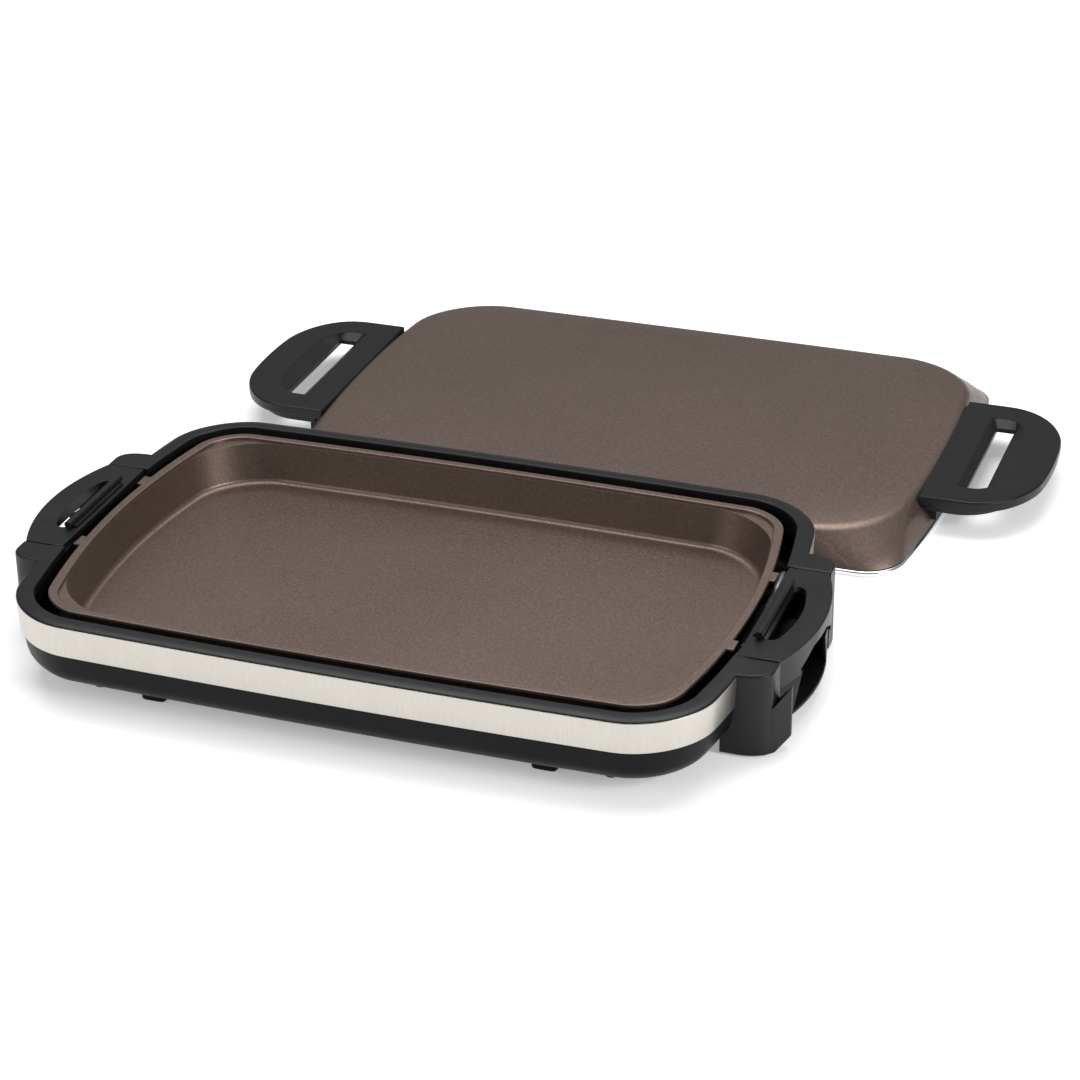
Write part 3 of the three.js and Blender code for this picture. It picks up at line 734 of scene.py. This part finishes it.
def make_handle(side):
    """Right-hand handle plate whose slot opens like a dish, with the skirt below its arched edge."""
    low = level("handle_right", top=False)
    bottom = BEZEL_TOP - HANDLE_THICK
    bow = SLOT_BOW if side == "right" else 0
    plate = extruded("plate", [arched_loop(249), slot_loop(bow)], bottom, BEZEL_TOP, soft=0.9)
    wide = slot_loop(SLOT_BOW, 0.9)
    narrow = slot_loop(bow)
    combine(plate, dish(wide, narrow, BEZEL_TOP - 0.2, bottom + 0.8, GRIDDLE), "DIFFERENCE")
    skirt = extruded("skirt", [arched_loop(260.5, 0.12)], low, BEZEL_TOP - 1, soft=0.8)
    combine(skirt, extruded("pocket", [arched_loop(250, 3)], 0, CLEAR_ABOVE, soft=0.3), "DIFFERENCE")
    combine(skirt, hand_gap(), "DIFFERENCE")
    combine(plate, skirt, "UNION")
    if side == "left":
        plate = moved(plate, mirror_x(plate, "plate_left"))
    node = f"handle_{side}"
    plate.name = node + "_piece"
    add(weighted(plate), "body", "body_plastic", BLACK, node)


def make_small_body_parts():
    for side in ("left", "right"):
        add(softened(f"rail_{side}", 0.45), "body", "body_plastic", BLACK, f"rail_{side}")
        add(softened(f"guard_{side}", 0.7), "body", "lower_plastic", DARK, f"guard_{side}")
    add(softened("plug_port_sleeve", 0.5), "body", "lower_plastic", DARK, "plug_port_sleeve")


def cross_screw(name, place, direction, radius, height, body):
    """Pan head with a cross recess, seen from direction."""
    profile = rounded([(0.01, 0, 0), (radius, 0, 0.2), (radius, height * 0.55, 0.9), (0.01, height, 0)])
    head = turned(name, profile, place, direction, segments=32)
    turn = Vector((0, 0, 1)).rotation_difference(Vector(direction)).to_matrix().to_4x4()
    for angle in (0, math.pi / 2):
        mesh = bpy.data.meshes.new("recess")
        work = bmesh.new()
        bmesh.ops.create_cube(work, size=1)
        work.to_mesh(mesh)
        work.free()
        mesh.transform(
            Matrix.Translation(place) @ turn @ Matrix.Rotation(angle, 4, "Z")
            @ Matrix.Translation((0, 0, height * MM))
            @ Matrix.Diagonal((radius * 1.15 * MM, radius * 0.24 * MM, height * 1.1 * MM, 1))
        )
        combine(head, new_object("recess", mesh), "DIFFERENCE")
    return add(head, body, "fasteners", ZINC, name.replace("_head", ""))


def make_feet():
    for corner in ("front_left", "front_right", "rear_left", "rear_right"):
        block = f"block_foot_{corner}"
        add(softened(block, 0.9), "body", "lower_plastic", DARK, block)
        pad = f"rubber_foot_{corner}"
        low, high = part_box(pad)
        place = Vector(((low.x + high.x) / 2, (low.y + high.y) / 2, 0))
        top = high.z / MM
        profile = rounded([(0.01, 0, 0), (4.4, 0, 1.2), (6.5, 3.4, 3), (6.5, top, 0.3), (0.01, top, 0)])
        add(turned(pad + "_piece", profile, place), "body", "foot_rubber", RUBBER, pad)
        screw = f"base_screw_{corner}"
        low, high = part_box(screw)
        place = Vector(((low.x + high.x) / 2, (low.y + high.y) / 2, high.z))
        cross_screw(screw + "_head", place, (0, 0, -1), 4, (high.z - low.z) / MM, "body")


# ---- heater ---------------------------------------------------------------------------------------

def make_shield():
    profile = [
        (40, 16.8, 0),
        (6, 16.8, 2),
        (1, 18.2, 2.5),
        (0, 24, 0.25),
        (0.8, 24, 0.25),
        (1.8, 18.9, 2.5),
        (6.5, 17.5, 2),
        (40, 17.5, 0),
    ]
    tray = loft("heat_shield_piece", SHIELD, rounded(profile))
    for end in (-1, 1):
        notch = box_piece("notch", 212, 240, end * 95 - 18, end * 95 + 18, 18.3, 30, soft=0.2)
        combine(tray, notch, "DIFFERENCE")
    add(tray, "heater", "shield_metal", SHEET, "heat_shield")


def smooth_path(points, steps=10):
    """Catmull-Rom curve through the points, ending at the first and the last."""
    ends = [2 * points[0] - points[1], *points, 2 * points[-1] - points[-2]]
    path = []
    for before, start, end, after in zip(ends, ends[1:], ends[2:], ends[3:]):
        for i in range(steps):
            t = i / steps
            path.append(
                0.5 * (2 * start + (end - before) * t + (2 * before - 5 * start + 4 * end - after) * t * t
                       + (3 * start - before - 3 * end + after) * t ** 3)
            )
    return path + [points[-1]]


RISER_X = 243.5
RISER_TOP = 45.5


def element_route():
    """Centre line of the heating tube: out of the block, down under the plate and through four passes."""
    z = 21.9
    outer, inner = 105, 35  # distances of the passes from the middle line
    turn_x, lead = 160, 20
    x, top = RISER_X, RISER_TOP
    half = [
        (x, 27.3, top), (x, 34, top), (x, 47, top + 2), (x - 0.3, 62, top + 3.5),
        (x - 2.2, 79, top + 1.5), (x - 6, 92, top - 8), (x - 13, 100, z + 7), (x - 26, 104, z),
        (x - 46, outer, z), (turn_x, outer, z), (lead - turn_x, outer, z),
    ]
    radius = (outer - inner) / 2
    for i in range(7):
        angle = math.pi / 2 + i * math.pi / 6
        half.append((-turn_x + radius * math.cos(angle), outer - radius + radius * math.sin(angle), z))
    half += [(lead - turn_x, inner, z), (turn_x - lead, inner, z)]
    for i in range(3):
        angle = math.pi / 2 - i * math.pi / 6
        half.append((turn_x + inner * math.cos(angle), inner * math.sin(angle), z))
    half = [Vector(p) for p in half]
    other = [Vector((p.x, -p.y, p.z)) for p in reversed(half)]
    return smooth_path([*half, Vector((turn_x + inner, 0, z)), *other])


def make_element():
    curve = bpy.data.curves.new("element", "CURVE")
    curve.dimensions = "3D"
    curve.bevel_depth = 3.2 * MM
    curve.bevel_resolution = 5
    curve.use_fill_caps = True
    route = element_route()
    spline = curve.splines.new("POLY")
    spline.points.add(len(route) - 1)
    for point, place in zip(spline.points, route):
        point.co = ((place.x + GRIDDLE.x) * MM, (place.y + GRIDDLE.y) * MM, place.z * MM, 1)
    holder = new_object("element_curve", curve)
    graph = bpy.context.evaluated_depsgraph_get()
    mesh = bpy.data.meshes.new_from_object(holder.evaluated_get(graph))
    bpy.data.objects.remove(holder)
    tube = new_object("heating_element_piece", tidy(mesh))
    add(tube, "heater", "element_sheath", SHEATH, "heating_element")


def make_heater_parts():
    make_shield()
    make_element()
    for side in ("left", "right"):
        node = f"element_support_{side}"
        add(softened(node, 0.2, 2), "heater", "fasteners", ZINC, node)
    add(softened("terminal_block", 0.6), "heater", "lower_plastic", DARK, "terminal_block")
    for end in ("front", "rear"):
        node = f"terminal_pin_{end}"
        low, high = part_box(node)
        place = Vector((low.x, (low.y + high.y) / 2, (low.z + high.z) / 2))
        length = (high.x - low.x) / MM
        profile = rounded([(0.01, 0, 0), (2.2, 0, 0.1), (2.2, length, 1.1), (0.01, length, 0)])
        add(turned(node + "_piece", profile, place, (1, 0, 0), 28), "heater", "pin_brass", BRASS, node)
        side = -1 if end == "front" else 1
        block_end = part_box("terminal_block")[0 if side < 0 else 1].y
        collar_place = Vector(((RISER_X + GRIDDLE.x) * MM, block_end, RISER_TOP * MM))
        ring = rounded([(3.25, 0, 0), (4.3, 0, 0.4), (4.3, 4, 0.6), (3.25, 4, 0)])
        collar = turned(f"element_collar_{end}", ring, collar_place, (0, side, 0), 28)
        add(collar, "heater", "fasteners", ZINC)
    low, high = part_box("sensor_sleeve")
    place = Vector((low.x, (low.y + high.y) / 2, (low.z + high.z) / 2))
    length = (high.x - low.x) / MM
    outside = [(0.01, 0, 0), (3.4, 0, 0.1), (3.4, length, 0.4)]
    profile = rounded(outside + [(2.4, length, 0.3), (2.4, 1, 0.2), (0.01, 1, 0)])
    sleeve = turned("sensor_sleeve_piece", profile, place, (1, 0, 0), 32)
    add(sleeve, "heater", "shield_metal", SHEET, "sensor_sleeve")


# ---- cooking plate --------------------------------------------------------------------------------

def make_plate():
    rim, floor, corner = PLATE_RIM, PLATE_FLOOR, BOWL_CORNER
    profile = rounded([
        (60, floor - PLATE_THICK, 0, corner),
        (10.6, floor - PLATE_THICK, 4, corner),
        (4.8, rim - 3.4, 0.6, corner - 4),
        (0, rim - 2.5, 0.4, PLATE.corner),
        (0, rim, 0.8, PLATE.corner),
        (6.2, rim, 0.9, 22),
        (6.35, rim - 2.6, 0.3, 22),
        (6.5, rim - 2.7, 0.3, corner),
        (11.4, floor, 4.5, corner),
        (60, floor, 0, 6),
    ])
    pan = loft("cooking_plate_piece", PLATE, profile)
    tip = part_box("cooking_plate")[1].x / MM - GRIDDLE.x
    for side in (-1, 1):
        for end in (-1, 1):
            x0, x1 = sorted((side * (PLATE.half_x - 4.6), side * tip))
            y0, y1 = sorted((end * TAB_LOW, end * TAB_HIGH))
            tab = box_piece("tab", x0, x1, y0, y1, rim - 2.2, rim - 0.25, soft=0.5)
            combine(pan, tab, "UNION")
    add(weighted(pan), "plate", "brown_coating", BROWN, "cooking_plate")


# ---- lid ------------------------------------------------------------------------------------------

LID_FLANK = [
    (1.4, LID_RIM_TOP + GAP, 0, 28),
    (7.2, LID_TOP - 14.8, 30, 42),
    (14.2, LID_TOP - 1.9, 9, 57),
    (34, LID_TOP - 0.4, 40, 57),
]


def make_lid_shell():
    inside = [(34, LID_TOP - 2.6, 0, 54), (16.5, LID_TOP - 4.2, 7, 52), (4, LID_RIM_TOP + GAP, 0.2, 26)]
    rows = rounded(inside + [(*LID_FLANK[0][:2], 0.2, LID_FLANK[0][3])] + LID_FLANK[1:])
    add(loft("lid_shell_piece", LID_EDGE, rows, LID, crown=0.4), "lid", "brown_coating", BROWN, "lid_shell")


def make_lid_rim():
    rim = LID_RIM_TOP
    profile = rounded([(0, 0, 1.9), (0, rim, 1.7), (4.6, rim, 0.8), (4.6, 0, 1.4)], closed=True)
    add(loft("lid_rim_piece", LID_EDGE, profile, LID, closed=True), "lid", "rim_steel", RIM_STEEL, "lid_rim")


def grip_loop(inner, tip, half, steps=14):
    """D outline: square against the lid, with big round corners and a gently bowed tip."""
    corner = min(half * 0.6, (tip - inner) * 0.7)
    loop = [(inner, -half), (tip - corner, -half)]
    end = (tip - 2, corner - half)
    loop += cubic(loop[-1], (tip - 0.4 * corner, -half), (tip - 5, 0.6 * corner - half), end, steps)
    bow = (tip + 0.6, (corner - half) * 0.4)
    loop += cubic(end, bow, (bow[0], -bow[1]), (end[0], -end[1]), steps)
    far = (tip - corner, half)
    loop += cubic(loop[-1], (tip - 5, half - 0.6 * corner), (tip - 0.4 * corner, half), far, steps)
    loop.append((inner, half))
    return loop


def resampled(loop, count):
    """The same closed outline with evenly spaced points, from its lower left one on."""
    start = min(range(len(loop)), key=lambda i: loop[i][0] + loop[i][1] * 2)
    loop = [Vector(p) for p in loop[start:] + loop[:start]]
    lengths = [(b - a).length for a, b in zip(loop, loop[1:] + loop[:1])]
    total = sum(lengths)
    points = []
    edge, passed = 0, 0.0
    for i in range(count):
        target = total * i / count
        while passed + lengths[edge] < target:
            passed += lengths[edge]
            edge += 1
        t = (target - passed) / lengths[edge]
        points.append(loop[edge].lerp(loop[(edge + 1) % len(loop)], t))
    return points


def dish(upper, lower, top, floor, centre):
    """Cutter that narrows from the upper outline to the lower one, to make a sloping recess."""
    count = 120
    first, last = resampled(upper, count), resampled(lower, count)
    levels = [(first, top + 6), (first, top), (last, floor), (last, floor - 20)]
    points = [(p.x, p.y, z) for ring, z in levels for p in ring]
    faces = []
    for k in range(len(levels) - 1):
        for i in range(count):
            j = (i + 1) % count
            faces.append((k * count + i, k * count + j, (k + 1) * count + j, (k + 1) * count + i))
    faces.append(tuple(range(count)))
    faces.append(tuple(reversed(range(3 * count, 4 * count))))
    return from_points("dish", points, faces, centre)


def make_lid_handles():
    low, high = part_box("lid_handle_right")
    tip = high.x / MM - LID.x
    half = (high.y - low.y) / 2 / MM
    top = high.z / MM
    inner, bottom = 244.5, top - 8.5
    slot_inner, slot_outer, slot_half = 274.5, 289, 57
    grip = extruded("lid_handle_right_piece", [grip_loop(inner, tip, half)], bottom, top, 1.7, LID)
    slot = [(slot_inner, -slot_half), (slot_outer, -slot_half)]
    slot += [(x, -y) for x, y in reversed(slot)]
    recess = grip_loop(slot_inner - 6, slot_outer + 13, slot_half + 8)
    lip = extruded("lip", [grip_loop(inner + 6, tip - 14, half - 1.6)], bottom - 4, bottom + 1.5, 0.8, LID)
    hollow = extruded("hollow", [grip_loop(inner - 8, tip - 18, half - 5)], bottom - 9, bottom + 1.7, 0.1, LID)
    combine(lip, hollow, "DIFFERENCE")
    combine(grip, lip, "UNION")
    combine(grip, dish(recess, slot, top - 0.3, top - 5, LID), "DIFFERENCE")
    bracket = box_piece("bracket", inner - 9, inner + 13, 8 - half, half - 8, 7, bottom + 1, 0.8, LID)
    combine(grip, bracket, "UNION")
    flank = [(LID_FLANK[0][0] - GAP - 1.4, 0, 0, 28)]
    flank += [(u - GAP, z + 0.1, r, plan) for u, z, r, plan in LID_FLANK]
    flank.append((60, LID_TOP + GAP, 0, 57))
    combine(grip, loft("flank", LID_EDGE, rounded(flank), LID), "DIFFERENCE")
    left = mirror_x(grip, "lid_handle_left_piece", LID)
    add(weighted(grip), "lid", "grip_plastic", GRIP, "lid_handle_right")
    add(weighted(left), "lid", "grip_plastic", GRIP, "lid_handle_left")


def make_lid_screws():
    for side, sign in (("left", -1), ("right", 1)):
        for end in ("front", "rear"):
            node = f"lid_screw_{side}_{end}"
            low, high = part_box(node)
            centre = (low + high) / 2
            inward = Vector((-sign * 0.906, 0, -0.423))
            cross_screw(node + "_head", centre - inward * 0.95 * MM, inward, 3.6, 1.9, "lid")


# ---- stage ----------------------------------------------------------------------------------------

def make_camera():
    """The photograph's view: 20 degrees to the right of the front, 27 degrees above the table."""
    azimuth, elevation, roll = math.radians(19.87), math.radians(27.35), math.radians(-0.73)
    distance = 1.964
    target = Vector(((GRIDDLE.x + 116.93) * MM, (GRIDDLE.y - 79.11) * MM, 0.1329))
    back = Vector((
        math.sin(azimuth) * math.cos(elevation),
        -math.cos(azimuth) * math.cos(elevation),
        math.sin(elevation),
    ))
    data = bpy.data.cameras.new("camera")
    data.sensor_width = 36
    data.lens = 99.43
    data.clip_end = 30
    camera = bpy.data.objects.new("camera", data)
    bpy.context.scene.collection.objects.link(camera)
    right = Vector((math.cos(azimuth), math.sin(azimuth), 0))
    up = back.cross(right)
    turned_right = math.cos(roll) * right + math.sin(roll) * up
    turned_up = -math.sin(roll) * right + math.cos(roll) * up
    axes = Matrix((turned_right, turned_up, back)).transposed().to_4x4()
    camera.matrix_world = Matrix.Translation(target + back * distance) @ axes
    bpy.context.scene.camera = camera


def area_light(name, place, aim, size, power, colour=(1, 1, 1)):
    data = bpy.data.lights.new(name, "AREA")
    data.shape = "RECTANGLE"
    data.size, data.size_y = size
    data.energy = power
    data.color = colour
    light = bpy.data.objects.new(name, data)
    bpy.context.scene.collection.objects.link(light)
    light.location = place
    light.rotation_euler = (Vector(aim) - Vector(place)).to_track_quat("-Z", "Y").to_euler()


def make_stage():
    mesh = bpy.data.meshes.new("floor")
    reach = 12
    corners = [(-reach, -reach, 0), (reach, -reach, 0), (reach, reach, 0), (-reach, reach, 0)]
    mesh.from_pydata(corners, [], [(0, 1, 2, 3)])
    floor = new_object("floor", mesh)
    floor.location.z = -0.0003
    surface = Surface("pale_floor", specular=0.2)
    tone = surface.noise(3, detail=2)
    surface.colour(surface.ramp(tone, [(0.3, (0.90, 0.90, 0.90)), (0.7, (0.915, 0.915, 0.915))]))
    surface.shader.inputs["Roughness"].default_value = 0.75
    surface.shader.inputs["Emission Color"].default_value = (1, 1, 1, 1)
    surface.shader.inputs["Emission Strength"].default_value = 0.3
    mesh.materials.append(surface.material)
    world = bpy.data.worlds.new("studio")
    world.use_nodes = True
    world.node_tree.nodes["Background"].inputs["Color"].default_value = (1, 1, 1, 1)
    world.node_tree.nodes["Background"].inputs["Strength"].default_value = 0.3
    scene = bpy.context.scene
    scene.world = world
    scene.view_settings.view_transform = "Standard"
    area_light("overhead", (-0.3, 0.6, 2.2), (0, 0, 0), (2.4, 1.8), 52)
    area_light("right_side", (2.2, -0.75, 1.1), (0.2, 0.1, 0), (0.9, 0.9), 34)
    area_light("front_left", (-1.7, -1.9, 1.0), (-0.1, -0.2, 0), (1.4, 1.0), 14)


make_camera()
make_stage()
make_tub()
make_bezel_frame()
make_band(-1, "band_front")
make_band(1, "band_rear")
make_handle("left")
make_handle("right")
make_small_body_parts()
make_feet()
make_heater_parts()
make_plate()
make_lid_shell()
make_lid_rim()
make_lid_handles()
make_lid_screws()
